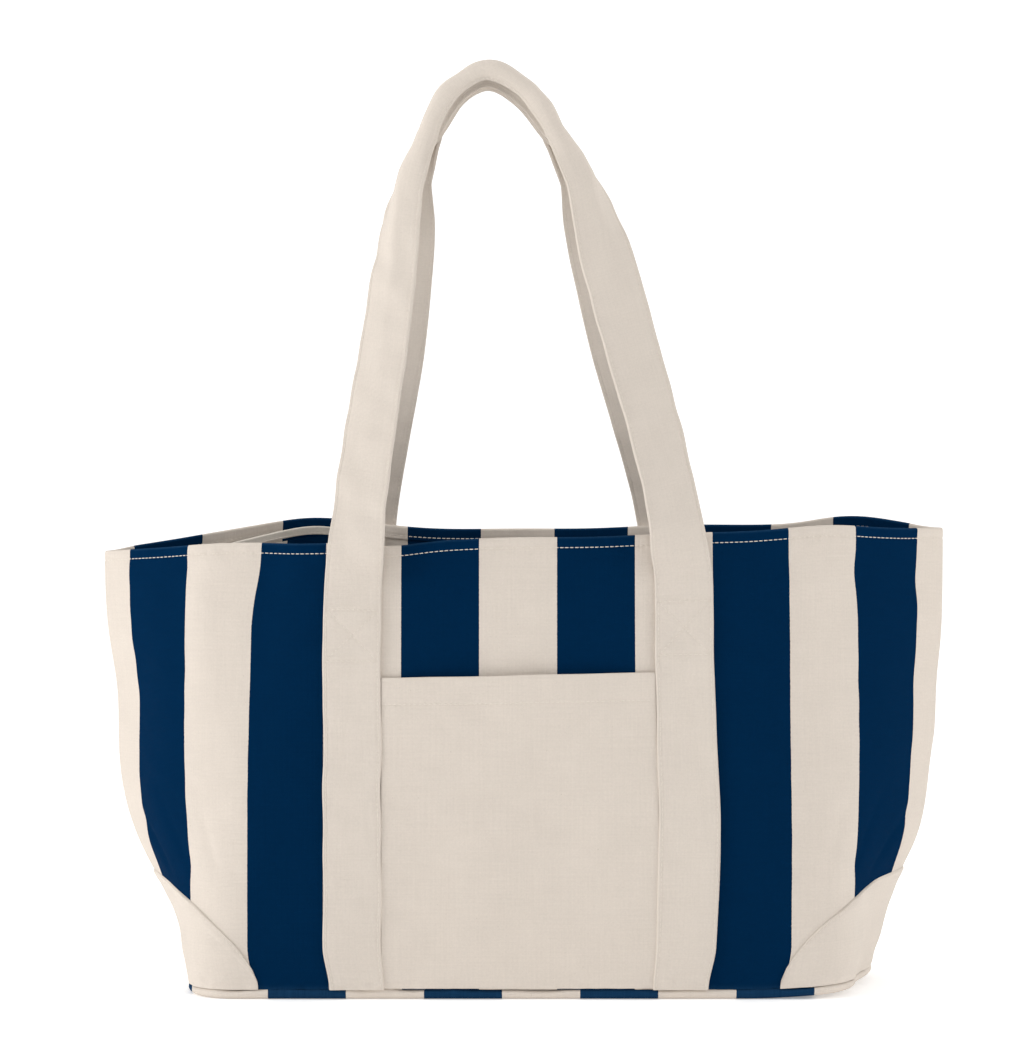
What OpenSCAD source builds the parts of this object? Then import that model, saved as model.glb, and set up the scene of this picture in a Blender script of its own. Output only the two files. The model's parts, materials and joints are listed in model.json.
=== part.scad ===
// Striped canvas tote bag, standing open on its base with both handles raised.
// Units are millimetres. +Z is up, +X is to the right and -Y is the front. The
// origin is on the ground, under the middle of the base.
//
// Everything sewn to the bag is laid out in the wall's own coordinates: u is the
// distance along the cloth from the middle of the front or back, v is the height
// above the base seam, and d is the distance outward from the wall's inner face.

/* [Canvas] */
// Thickness of one ply of canvas
ply = 1.4; // [1:0.1:2]
// Width of one stripe
stripe = 50.8; // [46:0.1:55]
// Clearance between layers of cloth
layer_gap = 0.2; // [0.1:0.05:0.4]

/* [Body] */
// Length of the base
base_l = 448; // [400:1:540]
// Depth of the base from front to back
base_d = 186; // [150:1:230]
// Radius of the base's corners, seen from above
corner_r = 30; // [20:1:40]
// Height of the rim above the ground
body_h = 300; // [250:1:360]
// Depth of the mouth at the middle of the rim
mouth_d = 154; // [120:1:190]
// Turn of the wall from its flat middle to its end seam, at the rim, in degrees
rim_turn = 46; // [35:1:55]
// Height of the seam between the walls and the base
seam_z = 6.5; // [5:0.5:10]
// Depth of the turned hem at the rim
hem_h = 9; // [7:0.5:14]
// How far the rim dips at its two end seams
rim_dip = 6; // [0:1:12]

/* [Straps and handles] */
// Width of the straps
strap_w = 38; // [30:1:42]
// Thickness of the folded strap
strap_t = 2.8; // [2:0.1:4]
// Height of the top of the stitched box, where a handle comes free
stitch_top = 259; // [220:1:300]
// Height of the stitched box
box_h = 34; // [25:1:45]
// Height of the top of the raised handles
handle_top = 623; // [500:1:740]
// Sideways lean of the top of the raised handles
handle_lean = -22; // [-40:1:40]

/* [Pockets and patches] */
// Height of the front pocket above the base seam
pocket_h = 205; // [150:1:240]
// How far the front pocket's mouth stands open at its middle
pocket_gape = 9; // [7:0.5:14]
// Width of the pocket on the inside of the back wall
inner_w = 130; // [100:1:150]
// Height of the inside pocket
inner_h = 130; // [90:1:160]
// How far the inside pocket's mouth stands open at its middle
inner_gape = 15; // [12:0.5:20]
// Distance of the inside pocket's middle from the middle of the back wall
inner_out = 157; // [130:1:175]
// Height of the corner patches at the end seams
patch_h = 68; // [55:1:90]
// Reach of the corner patches along the base from the end seams
patch_w = 130; // [100:1:145]

/* [Seams and thread] */
// Width of the binding on the inside seams
binding_w = 10; // [8:1:14]
// Thickness of the bound seam allowance
binding_t = 2.4; // [2:0.2:4]
// Width of a line of stitching
thread_w = 0.9; // [0.6:0.1:1.2]
// How far a line of stitching stands proud
thread_t = 0.5; // [0.3:0.1:0.8]
// Distance of the stitching from the edge that it holds
edge_in = 2.2; // [1.5:0.1:3]
// Clearance between a line of stitching and the cloth under it
thread_gap = 0.3; // [0.2:0.05:0.4]

/* [Hidden] */

FRONT = -1;
BACK = 1;
LEFT = -1;
RIGHT = 1;
navy = "midnightblue";
natural = "wheat";
thread = "ivory";

// The wall is an arc between a flat middle and a straight run to the end seam.
half_girth = base_l / 2 + base_d / 2 - corner_r * (2 - PI / 2);
wall_h = body_h - seam_z;
strap_out = 2.5 * stripe;
strap_in = strap_out - strap_w;
strap_u = strap_out - strap_w / 2;
leg_h = stitch_top - seam_z;
// Share of the height over which the square base eases into the pointed rim
ease_share = 0.65;
// Space left between the front and back walls at an end seam
seam_gap = 0.3;
// Gap between a sewn strap and the handle that hinges above it
hinge_gap = 0.3;

// Grid lines of the wall. Every layer shares them, so that no two layers cross.
u_step = 14;
v_step = 18;
function steps(low, high, step) =
    let (n = max(1, ceil((high - low) / step)))
    [for (i = [0 : n]) low + (high - low) * i / n];
function joined(lists) =
    [for (k = [0 : len(lists) - 1]) for (i = [(k == 0 ? 0 : 1) : len(lists[k]) - 1]) lists[k][i]];
function lerp(a, b, t) = a + (b - a) * t;
function ease(t) = let (c = min(1, max(0, t))) (1 - cos(180 * c)) / 2;

half_u = joined([
    steps(0, strap_in, u_step),
    steps(strap_in, strap_out, u_step),
    steps(strap_out, half_girth - seam_gap, u_step),
]);
wall_u = [for (i = [len(half_u) - 1 : -1 : 1]) -half_u[i], for (u = half_u) u];
hem_v = wall_h - hem_h;
hem_step = 0.6;
wall_v = joined([
    steps(0, leg_h - box_h, v_step),
    steps(leg_h - box_h, leg_h, v_step),
    steps(leg_h, hem_v - hem_step, v_step),
    [hem_v - hem_step, hem_v],
    steps(hem_v, wall_h, v_step),
]);
function between(list, low, high) = [
    low,
    for (x = list) if (x > low + 0.5 && x < high - 0.5) x,
    high,
];

// Half of the flat middle, the end of the arc and the turn at the end, at height v
function flat_u(v) = lerp(base_l / 2 - corner_r, strap_in, v / wall_h);
function arc_u(v) = lerp(base_l / 2 - corner_r + corner_r * PI / 2, half_girth, v / wall_h);
function end_turn(v) = lerp(90, rim_turn, ease(v / wall_h / ease_share));
function arc_r(v) = (arc_u(v) - flat_u(v)) / (end_turn(v) * PI / 180);

// Turn of the wall away from the front at (u, v), in degrees
function turn_at(u, v) =
    end_turn(v) * min(1, max(0, (u - flat_u(v)) / (arc_u(v) - flat_u(v))));
// Distance from the middle of the bag to the wall's inner face, along X
function reach_x(u, v) =
    let (past = max(0, u - arc_u(v)))
    min(u, flat_u(v)) + arc_r(v) * sin(turn_at(u, v)) + past * cos(end_turn(v));
// How far the wall has come in from its flat middle, along Y
function inset_y(u, v) =
    let (past = max(0, u - arc_u(v)))
    arc_r(v) * (1 - cos(turn_at(u, v))) + past * sin(end_turn(v));
// Distance from the middle of the bag to the flat middle of a wall, along Y
function middle_y(v) = lerp(base_d, mouth_d, v / wall_h) / 2;
function reach_y(u, v) = middle_y(v) * (1 - inset_y(u, v) / inset_y(half_girth, v));
function height(u, v) =
    seam_z + v - rim_dip * pow(u / half_girth, 2) * pow(v / wall_h, 2);

// The point of the front or back wall at (u, v), a distance d outward
function wall(u, v, d, side) =
    let (a = abs(u), t = turn_at(a, v))
    [
        (u < 0 ? -1 : 1) * (reach_x(a, v) + d * sin(t)),
        side * (reach_y(a, v) + d * cos(t)),
        height(a, v),
    ];
// The point of an end at a distance w round from its seam, w below 0 on the front
function end_wall(w, v, d, end) =
    let (u = half_girth - abs(w), t = w == 0 ? 90 : turn_at(u, v))
    [
        end * (reach_x(u, v) + d * sin(t)),
        sign(w) * (reach_y(u, v) + d * cos(t)),
        height(u, v),
    ];

// A closed skin between two grids of nu by nv points, given as one list
function skin_faces(nu, nv) =
    let (m = nu * nv)
    concat(
        [for (i = [0 : nu - 2]) for (j = [0 : nv - 2]) each
            let (a = i * nv + j, b = a + nv, c = m + a, e = m + b)
            [[a, a + 1, b], [b, a + 1, b + 1], [c, e, c + 1], [e, e + 1, c + 1]]],
        [for (i = [0 : nu - 2]) each
            let (a = i * nv, b = a + nv, c = a + nv - 1, e = b + nv - 1)
            [[a, b, m + a], [m + a, b, m + b], [c, m + c, e], [m + c, m + e, e]]],
        [for (j = [0 : nv - 2]) each
            let (a = j, b = j + 1, c = (nu - 1) * nv + j, e = c + 1)
            [[a, m + a, b], [m + a, m + b, b], [c, e, m + c], [m + c, e, m + e]]]
    );
function flipped(faces) = [for (f = faces) [f[2], f[1], f[0]]];
module skin(outer, inner, flip) {
    faces = skin_faces(len(outer), len(outer[0]));
    polyhedron(
        points = [for (row = outer) each row, for (row = inner) each row],
        faces = flip ? flipped(faces) : faces
    );
}

// A layer of cloth on a wall, between the distances inner(u, v) and outer(u, v)
module layer(us, vs, inner, outer, side) {
    skin(
        [for (u = us) [for (v = vs) wall(u, v, outer(u, v), side)]],
        [for (u = us) [for (v = vs) wall(u, v, inner(u, v), side)]],
        side == FRONT
    );
}

// ---- The bag's walls and base ----

// The turned-in ply of a rim, which thins out towards the end seams
hem_thin = 0.05;
hem_fade = 4;
hem_clear = 1.2;
function hem_ply(u) =
    ply * min(1, max(hem_thin, (half_girth - abs(u) - hem_clear * ply) / (hem_fade * ply)));
module panel(side) {
    color(navy)
    layer(
        wall_u, wall_v,
        function (u, v) v < hem_v ? 0 : -hem_ply(u),
        function (u, v) ply,
        side
    );
}

module plan(grow) {
    l = base_l + 2 * grow;
    d = base_d + 2 * grow;
    r = corner_r + grow;
    square([l - 2 * r, d], center = true);
    square([l, d - 2 * r], center = true);
    for (x = [-1, 1], y = [-1, 1]) translate([x * (l / 2 - r), y * (d / 2 - r)]) circle(r, $fn = 48);
}

module base_panel() {
    color(navy)
    difference() {
        linear_extrude(seam_z - layer_gap) plan(ply);
        translate([0, 0, ply]) linear_extrude(seam_z) plan(0);
    }
}

// ---- Bound seam allowances, inside the bag ----

module base_seam_binding() {
    color(natural)
    translate([0, 0, ply + layer_gap])
    linear_extrude(binding_t)
    difference() {
        plan(-layer_gap);
        plan(-layer_gap - binding_w);
    }
}

module seam_binding(end) {
    vs = between(wall_v, 0, hem_v - binding_w);
    clear = 2 * ply;
    function strip(side) = [for (back = [clear, clear + binding_w]) [
        for (v = vs) [end * (reach_x(half_girth, v) - back), side * binding_t / 2, height(half_girth, v)],
    ]];
    color(natural)
    skin(strip(FRONT), strip(BACK), end == LEFT);
}

// ---- Pockets ----

pocket_edge = strap_in - layer_gap;
// Distance of the front pocket's back face from the wall's inner face
function pocket_d(u, v) =
    ply + layer_gap + pocket_gape * min(1, v / pocket_h) * (1 - pow(u / pocket_edge, 2));
module front_pocket() {
    color(natural)
    layer(
        between(wall_u, -pocket_edge, pocket_edge), between(wall_v, 0, pocket_h),
        function (u, v) pocket_d(u, v), function (u, v) pocket_d(u, v) + ply, FRONT
    );
}

inner_u = -inner_out;
inner_top = hem_v - 2 * hem_step;
// Distance of the inside pocket's face towards the wall, from the wall's inner face
function inner_d(u, v) =
    let (share = (v - inner_top + inner_h) / inner_h)
    -layer_gap - inner_gape * share * (1 - pow((u - inner_u) / (inner_w / 2), 2));
module inner_pocket() {
    us = between(wall_u, inner_u - inner_w / 2, inner_u + inner_w / 2);
    color(navy)
    layer(
        us, between(wall_v, inner_top - inner_h, inner_top),
        function (u, v) inner_d(u, v) - ply, function (u, v) inner_d(u, v), BACK
    );
}

// ---- Corner patches, each wrapped round one end of the bag ----

patch_power = 2;
patch_tip = 0.98;
patch_rows = 8;
patch_d = ply + 3 * layer_gap;
function patch_v(w) =
    patch_h * pow(1 - pow(abs(w) / patch_w, patch_power), 1 / patch_power);
patch_ws = let (right = steps(0, patch_w * patch_tip, u_step / 2))
    [for (i = [len(right) - 1 : -1 : 1]) -right[i], for (w = right) w];
module corner_patch(end) {
    function face(d) = [for (w = patch_ws) [
        for (j = [0 : patch_rows]) end_wall(w, patch_v(w) * j / patch_rows, d, end),
    ]];
    color(natural)
    skin(face(patch_d + ply), face(patch_d), end == LEFT);
}

// ---- Straps sewn to the walls, and the free handle loops above them ----

module sewn_strap(end, side) {
    us = between(half_u, strap_in, strap_out);
    color(natural)
    layer(
        end == LEFT ? [for (i = [len(us) - 1 : -1 : 0]) -us[i]] : us,
        between(wall_v, 0, leg_h - hinge_gap),
        function (u, v) ply + layer_gap, function (u, v) ply + layer_gap + strap_t, side
    );
}

// Middle line of half a loop from its hinge to near the top:
// [share of strap_u, share of the loop's height]
half_loop = [
    [1, 0], [0.985, 0.06], [0.935, 0.18], [0.85, 0.32], [0.755, 0.45], [0.66, 0.59],
    [0.575, 0.70], [0.48, 0.785], [0.35, 0.865], [0.20, 0.925],
];
loop_crest = [0, 0.955];
loop_shape = concat(
    [for (p = half_loop) [-p.x, p.y]],
    [loop_crest],
    [for (i = [len(half_loop) - 1 : -1 : 0]) half_loop[i]]
);
loop_h = handle_top - stitch_top;
// Share of the loop's height at which it has cleared the rim
rim_clear = 6;
rim_share = (body_h + rim_clear - stitch_top) / loop_h;
// How far the loop stands off the wall as it passes the rim
stand_off = 1.6;
// Thickness of the folded top over that of the flat strap, and where the fold begins
fold_thick = 4.2;
fold_from = 0.45;
fold_over = 0.4;
// Space between the front and back loops at the top
crest_gap = 2.4;
hinge_y = wall(strap_u, leg_h, ply + layer_gap + strap_t, BACK).y + layer_gap;
// How far the strap is folded in half at a share of the loop's height, 0 to 1
function fold(share) = ease((share - fold_from) / fold_over);
function loop_point(p) =
    let (
        share = p.y,
        low = hinge_y - layer_gap - strap_t / 2 + stand_off * ease(share / rim_share),
        top = (strap_t * fold_thick + crest_gap) / 2,
        y = share < rim_share ? low : lerp(low, top, (share - rim_share) / (1 - rim_share))
    )
    [p.x * strap_u + handle_lean * pow(share, 1.5), y, stitch_top + share * loop_h];
function curve(a, b, c, d, t) =
    (2 * b + (c - a) * t + (2 * a - 5 * b + 4 * c - d) * t * t + (3 * b - a - 3 * c + d) * t * t * t) / 2;
loop_subdivisions = 3;
loop_line = let (n = len(loop_shape) - 1) [
    for (i = [0 : n - 1]) for (k = [0 : loop_subdivisions - 1])
        curve(loop_shape[max(0, i - 1)], loop_shape[i], loop_shape[i + 1],
            loop_shape[min(n, i + 2)], k / loop_subdivisions),
    loop_shape[n],
];
function unit(p) = p / norm(p);
// A ring of the loop: across is the strap's width and thick its thickness, as offsets
// from the middle line in shares of the strap's own half-width and half-thickness
function loop_ring(i, offsets, side) =
    let (
        n = len(loop_line) - 1,
        here = loop_point(loop_line[i]),
        run = i == 0 ? [0, 0, 1] : i == n ? [0, 0, -1]
            : loop_point(loop_line[i + 1]) - loop_point(loop_line[i - 1]),
        along = unit([run.x, 0, run.z]),
        out = [-along.z, 0, along.x],
        f = fold(loop_line[i].y),
        half_w = strap_w * (1 - 0.5 * f) / 2,
        half_t = strap_t * (1 + (fold_thick - 1) * f) / 2,
        lift = i == 0 || i == n ? hinge_gap : 0
    )
    [for (o = offsets)
        let (p = here + out * (half_w * o.x + o.z) + [0, half_t * o.y + o[3], lift])
        [p.x, side * p.y, p.z]];
module loop_sweep(offsets, side, first, last) {
    rings = [for (i = [first : last]) loop_ring(i, offsets, side)];
    n = len(offsets);
    m = len(rings);
    sides = [for (i = [0 : m - 2]) for (k = [0 : n - 1]) each
        let (a = i * n + k, b = i * n + (k + 1) % n)
        [[a, b, a + n], [b, b + n, a + n]]];
    faces = concat(sides, [[for (k = [n - 1 : -1 : 0]) k], [for (k = [0 : n - 1]) (m - 1) * n + k]]);
    polyhedron(
        points = [for (ring = rings) each ring],
        faces = side == BACK ? faces : [for (f = faces) [for (k = [len(f) - 1 : -1 : 0]) f[k]]]
    );
}
strap_section = [[-1, -1, 0, 0], [1, -1, 0, 0], [1, 1, 0, 0], [-1, 1, 0, 0]];
module handle_loop(side) {
    color(natural) loop_sweep(strap_section, side, 0, len(loop_line) - 1);
}

// ---- Stitching, one bead for each line ----

// A bead on the wall from a to b, both [u, v], standing on a layer at distance d
module bead(a, b, d, side) {
    along = unit(b - a);
    across = [along.y, -along.x] * thread_w / 2;
    rows = steps(0, norm(b - a), v_step);
    face = function (d) [
        for (s = [-1, 1]) [for (r = rows) let (q = a + along * r + s * across) wall(q.x, q.y, d, side)],
    ];
    skin(face(d + thread_t), face(d), side == FRONT);
}

module hem_thread(side) {
    v = hem_v + edge_in;
    d = ply + thread_gap;
    color(thread)
    layer(
        [for (u = wall_u) if (abs(u) < half_girth - 2) u], [v, v + thread_w],
        function (u, v) d, function (u, v) d + thread_t, side
    );
}

module pocket_hem_thread() {
    v = pocket_h - 2 * hem_h;
    on = function (u, v) pocket_d(u, v) + ply + thread_gap;
    color(thread)
    layer(
        between(wall_u, edge_in - pocket_edge, pocket_edge - edge_in), [v, v + thread_w],
        on, function (u, v) on(u, v) + thread_t, FRONT
    );
}

module inner_pocket_thread() {
    v = inner_top - edge_in;
    us = between(wall_u, inner_u - inner_w / 2 + edge_in, inner_u + inner_w / 2 - edge_in);
    on = function (u, v) inner_d(u, v) - ply - thread_gap;
    color(thread)
    layer(us, [v - thread_w, v], function (u, v) on(u, v) - thread_t, on, BACK);
}

module patch_thread(end) {
    d = patch_d + ply + thread_gap;
    function face(d) = [for (w = patch_ws) [
        for (below = [thread_w, 0]) end_wall(w, patch_v(w) - edge_in - below, d, end),
    ]];
    color(thread)
    skin(face(d + thread_t), face(d), end == LEFT);
}

module strap_thread(end, side) {
    left = end == LEFT ? -strap_out + edge_in : strap_in + edge_in;
    right = left + strap_w - 2 * edge_in;
    top = leg_h - edge_in - hinge_gap;
    low = top - box_h;
    gap = 1.2 * thread_w;
    middle = [(left + right) / 2, (top + low) / 2];
    d = ply + layer_gap + strap_t + thread_gap;
    color(thread) {
        for (u = [left, right]) bead([u, 1], [u, top], d, side);
        for (v = [low, top]) bead([left + gap, v], [right - gap, v], d, side);
        for (u = [left, right], v = [low, top])
            let (corner = [u, v], along = unit(middle - corner))
            bead(corner + along * 2 * gap, middle - along * gap, d, side);
    }
}

// A bead along both edges of the loop's outer face, clear of the hinges and the folded top
module handle_thread(side) {
    n = len(loop_line) - 1;
    low = loop_subdivisions;
    high = [for (i = [0 : n]) if (loop_line[i].y > fold_from) i];
    for (edge = [-1, 1], run = [[low, high[0]], [high[len(high) - 1], n - low]])
        let (a = -edge * edge_in - thread_w / 2, b = a + thread_w)
        color(thread)
        loop_sweep(
            [for (o = [[a, 0], [b, 0], [b, thread_t], [a, thread_t]]) [edge, 1, o.x, o.y + thread_gap]],
            side, run[0], run[1]
        );
}

panel(FRONT);  // front_panel
panel(BACK);  // back_panel
base_panel();
seam_binding(LEFT);  // left_seam_binding
seam_binding(RIGHT);  // right_seam_binding
base_seam_binding();
front_pocket();
inner_pocket();
corner_patch(LEFT);  // left_corner_patch
corner_patch(RIGHT);  // right_corner_patch
sewn_strap(LEFT, FRONT);  // front_left_strap
sewn_strap(RIGHT, FRONT);  // front_right_strap
sewn_strap(LEFT, BACK);  // back_left_strap
sewn_strap(RIGHT, BACK);  // back_right_strap
handle_loop(FRONT);  // front_handle_loop
handle_loop(BACK);  // back_handle_loop
hem_thread(FRONT);  // front_hem_thread
hem_thread(BACK);  // back_hem_thread
pocket_hem_thread();
inner_pocket_thread();
patch_thread(LEFT);  // left_patch_thread
patch_thread(RIGHT);  // right_patch_thread
strap_thread(LEFT, FRONT);  // front_left_strap_thread
strap_thread(RIGHT, FRONT);  // front_right_strap_thread
strap_thread(LEFT, BACK);  // back_left_strap_thread
strap_thread(RIGHT, BACK);  // back_right_strap_thread
handle_thread(FRONT);  // front_handle_thread
handle_thread(BACK);  // back_handle_thread
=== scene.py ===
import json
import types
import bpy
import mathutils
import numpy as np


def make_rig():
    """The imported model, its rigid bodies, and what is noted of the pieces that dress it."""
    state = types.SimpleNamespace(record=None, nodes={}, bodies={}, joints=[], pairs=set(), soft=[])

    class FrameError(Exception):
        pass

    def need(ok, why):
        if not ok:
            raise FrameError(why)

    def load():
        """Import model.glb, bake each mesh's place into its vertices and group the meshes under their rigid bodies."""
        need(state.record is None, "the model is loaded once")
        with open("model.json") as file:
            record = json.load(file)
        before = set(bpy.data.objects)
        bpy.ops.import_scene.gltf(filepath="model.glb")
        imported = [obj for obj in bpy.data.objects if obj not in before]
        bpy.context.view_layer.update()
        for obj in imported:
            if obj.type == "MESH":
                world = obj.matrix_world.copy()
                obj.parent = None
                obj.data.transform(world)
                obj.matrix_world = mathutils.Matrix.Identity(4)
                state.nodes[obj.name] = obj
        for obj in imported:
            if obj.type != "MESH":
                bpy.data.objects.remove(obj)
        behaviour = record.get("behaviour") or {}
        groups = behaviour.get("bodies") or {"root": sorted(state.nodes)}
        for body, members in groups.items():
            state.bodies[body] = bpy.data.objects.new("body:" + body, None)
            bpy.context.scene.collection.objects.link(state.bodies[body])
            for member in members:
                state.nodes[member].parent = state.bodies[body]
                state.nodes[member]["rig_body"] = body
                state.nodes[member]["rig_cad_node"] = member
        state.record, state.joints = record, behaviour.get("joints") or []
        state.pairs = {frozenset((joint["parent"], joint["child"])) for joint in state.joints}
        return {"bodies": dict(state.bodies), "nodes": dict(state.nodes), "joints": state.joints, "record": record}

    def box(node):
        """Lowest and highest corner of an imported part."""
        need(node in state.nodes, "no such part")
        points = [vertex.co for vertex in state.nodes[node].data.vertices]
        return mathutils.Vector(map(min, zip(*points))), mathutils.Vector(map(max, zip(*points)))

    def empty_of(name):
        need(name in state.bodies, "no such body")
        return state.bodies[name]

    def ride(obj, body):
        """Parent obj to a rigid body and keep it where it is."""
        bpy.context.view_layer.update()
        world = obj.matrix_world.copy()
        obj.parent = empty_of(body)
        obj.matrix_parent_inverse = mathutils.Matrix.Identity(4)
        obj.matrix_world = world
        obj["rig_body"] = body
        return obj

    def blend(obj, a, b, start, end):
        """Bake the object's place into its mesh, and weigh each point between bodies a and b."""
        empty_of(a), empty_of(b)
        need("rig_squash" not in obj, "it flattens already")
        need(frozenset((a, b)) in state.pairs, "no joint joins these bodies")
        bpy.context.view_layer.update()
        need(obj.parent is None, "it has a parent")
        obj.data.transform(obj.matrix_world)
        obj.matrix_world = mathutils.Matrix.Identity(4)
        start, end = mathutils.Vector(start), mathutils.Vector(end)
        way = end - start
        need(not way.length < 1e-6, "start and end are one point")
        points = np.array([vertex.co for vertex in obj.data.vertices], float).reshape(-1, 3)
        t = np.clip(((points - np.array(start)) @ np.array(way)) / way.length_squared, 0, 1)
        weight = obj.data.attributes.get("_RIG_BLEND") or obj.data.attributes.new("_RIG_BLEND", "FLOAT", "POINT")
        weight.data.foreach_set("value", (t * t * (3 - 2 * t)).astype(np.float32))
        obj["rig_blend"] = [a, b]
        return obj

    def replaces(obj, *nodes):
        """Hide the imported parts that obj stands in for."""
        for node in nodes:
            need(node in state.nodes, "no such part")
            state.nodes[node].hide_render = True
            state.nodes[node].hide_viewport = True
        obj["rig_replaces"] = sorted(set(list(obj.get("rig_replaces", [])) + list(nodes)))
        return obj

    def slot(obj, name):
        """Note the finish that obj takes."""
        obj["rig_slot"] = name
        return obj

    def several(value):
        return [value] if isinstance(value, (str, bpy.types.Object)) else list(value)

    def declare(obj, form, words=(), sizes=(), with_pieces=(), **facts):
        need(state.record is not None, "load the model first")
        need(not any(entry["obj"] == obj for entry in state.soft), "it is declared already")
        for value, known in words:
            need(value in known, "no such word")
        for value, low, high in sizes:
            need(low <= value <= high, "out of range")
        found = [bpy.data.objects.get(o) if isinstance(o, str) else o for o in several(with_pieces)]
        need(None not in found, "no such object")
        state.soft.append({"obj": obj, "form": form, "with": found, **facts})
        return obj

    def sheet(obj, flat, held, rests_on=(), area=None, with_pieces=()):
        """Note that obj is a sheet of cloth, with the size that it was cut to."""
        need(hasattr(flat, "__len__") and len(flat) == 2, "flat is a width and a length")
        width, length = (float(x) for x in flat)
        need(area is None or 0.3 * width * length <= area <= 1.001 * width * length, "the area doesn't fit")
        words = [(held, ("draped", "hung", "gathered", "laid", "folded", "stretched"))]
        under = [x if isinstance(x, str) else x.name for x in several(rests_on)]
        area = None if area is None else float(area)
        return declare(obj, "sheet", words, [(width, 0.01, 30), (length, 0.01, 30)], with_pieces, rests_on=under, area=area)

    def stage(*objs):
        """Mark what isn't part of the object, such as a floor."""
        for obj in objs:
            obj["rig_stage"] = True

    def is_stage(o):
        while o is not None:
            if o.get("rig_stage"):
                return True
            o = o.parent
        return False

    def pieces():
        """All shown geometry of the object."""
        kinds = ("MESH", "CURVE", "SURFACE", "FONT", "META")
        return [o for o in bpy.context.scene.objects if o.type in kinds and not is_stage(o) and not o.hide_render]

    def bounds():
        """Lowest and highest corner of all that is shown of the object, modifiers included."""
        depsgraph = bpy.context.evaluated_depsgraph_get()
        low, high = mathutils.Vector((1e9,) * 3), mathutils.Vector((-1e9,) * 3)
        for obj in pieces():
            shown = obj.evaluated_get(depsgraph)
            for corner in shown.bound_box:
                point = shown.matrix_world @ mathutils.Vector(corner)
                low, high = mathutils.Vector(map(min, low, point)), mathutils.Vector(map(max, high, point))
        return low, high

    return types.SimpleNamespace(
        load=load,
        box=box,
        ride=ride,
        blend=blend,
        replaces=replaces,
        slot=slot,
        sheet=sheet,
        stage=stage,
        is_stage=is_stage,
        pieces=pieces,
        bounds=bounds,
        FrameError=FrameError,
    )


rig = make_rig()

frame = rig.load()

import json
import math

import bpy
import numpy as np
from mathutils import Vector

CAD_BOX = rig.bounds()
MM = 0.001
FRONT, BACK = -1, 1
LEFT, RIGHT = -1, 1

# ---- Sizes, in metres. What the frame holds is read from it. ----

PLY = 1.4 * MM
GAP = 0.2 * MM
STRIPE = 50.8 * MM
HEM = 9 * MM
EDGE_IN = 2.2 * MM  # stitching from the edge that it holds

base_low, base_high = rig.box("base_panel")
BASE_L = base_high.x - base_low.x - 2 * PLY
BASE_D = base_high.y - base_low.y - 2 * PLY
CORNER_R = 30 * MM
SEAM_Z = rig.box("front_left_strap")[0].z
WALL_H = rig.box("front_panel")[1].z - SEAM_Z
MOUTH_D = 154 * MM
RIM_TURN = math.radians(46)
EASE_SHARE = 0.65
RIM_DIP = 4 * MM
TILT = 8 * MM  # how much higher the rim stands at its right end than at its middle
HALF_GIRTH = BASE_L / 2 + BASE_D / 2 - CORNER_R * (2 - math.pi / 2)
HEM_V = WALL_H - HEM

HINGE = {joint["child"]: Vector(joint["pos_m"]) for joint in frame["joints"]}
STRAP_W = 38 * MM
STRAP_T = 2.8 * MM
STRAP_OUT = 2.5 * STRIPE
STRAP_IN = STRAP_OUT - STRAP_W
STRAP_U = STRAP_OUT - STRAP_W / 2
STRAP_D = PLY + GAP
LEG_H = HINGE["front_handle"].z - SEAM_Z
BOX_H = 34 * MM
HANDLE_TOP = 623 * MM
HANDLE_LEAN = -22 * MM

POCKET_H = 205 * MM
POCKET_GAPE = 5 * MM
INNER_W = 130 * MM
INNER_H = 130 * MM
INNER_GAPE = 14 * MM
INNER_U = -157 * MM
PATCH_H = 68 * MM
PATCH_W = 130 * MM
PATCH_POWER = 2
BINDING_W = 10 * MM
BINDING_T = 2.4 * MM

STITCH_L = 2.8 * MM
STITCH_PITCH = 3.3 * MM
THREAD_R = 0.28 * MM
WORN_W = 1.5 * MM  # how far a folded edge is rubbed pale
SEWN_REACH = 34 * MM  # how far up a loop keeps to the wall's shape
PATH_STEP = 1.3 * MM


# ---- Small sums ----

def lerp(a, b, t):
    return a + (b - a) * t


def ease(t):
    return (1 - np.cos(np.pi * np.clip(t, 0, 1))) / 2


def smooth(start, end, x):
    t = np.clip((x - start) / (end - start), 0, 1)
    return t * t * (3 - 2 * t)


def bell(x, width):
    return np.exp(-((x / width) ** 2))


def waves(x, y, length, seed, count=7):
    """A soft uneven surface, about -1 to 1, from a few crossing waves."""
    rng = np.random.default_rng(seed)
    total = 0
    for _ in range(count):
        angle = rng.uniform(0, math.pi)
        wave = length * rng.uniform(0.7, 1.5)
        phase = rng.uniform(0, 2 * math.pi)
        total = total + np.sin((x * math.cos(angle) + y * math.sin(angle)) * 2 * math.pi / wave + phase)
    return total / math.sqrt(count)


def line(low, high, step, corner=0):
    """Places along a line, closer together in a rounded corner at each end."""
    near = corner * (1 - np.cos(np.linspace(0, math.pi / 2, 5))) if corner else np.zeros(1)
    count = max(2, int(round((high - low - 2 * corner) / step)) + 1)
    middle = np.linspace(low + corner, high - corner, count)
    return np.concatenate([low + near[:-1], middle, (high - near[:-1])[::-1]]) if corner else middle


def rounded(x, low, high, corner):
    """The share of full thickness at x, falling to nothing round each end."""
    depth = np.clip(np.minimum(x - low, high - x) / corner, 0, 1)
    return np.sqrt(np.clip(1 - (1 - depth) ** 2, 0, 1))


def unit(vectors):
    return vectors / np.maximum(np.linalg.norm(vectors, axis=-1, keepdims=True), 1e-12)


# ---- The standing cloth ----
# u runs along a wall from its middle, v up it from the base seam, and d out from its inner face.

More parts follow.
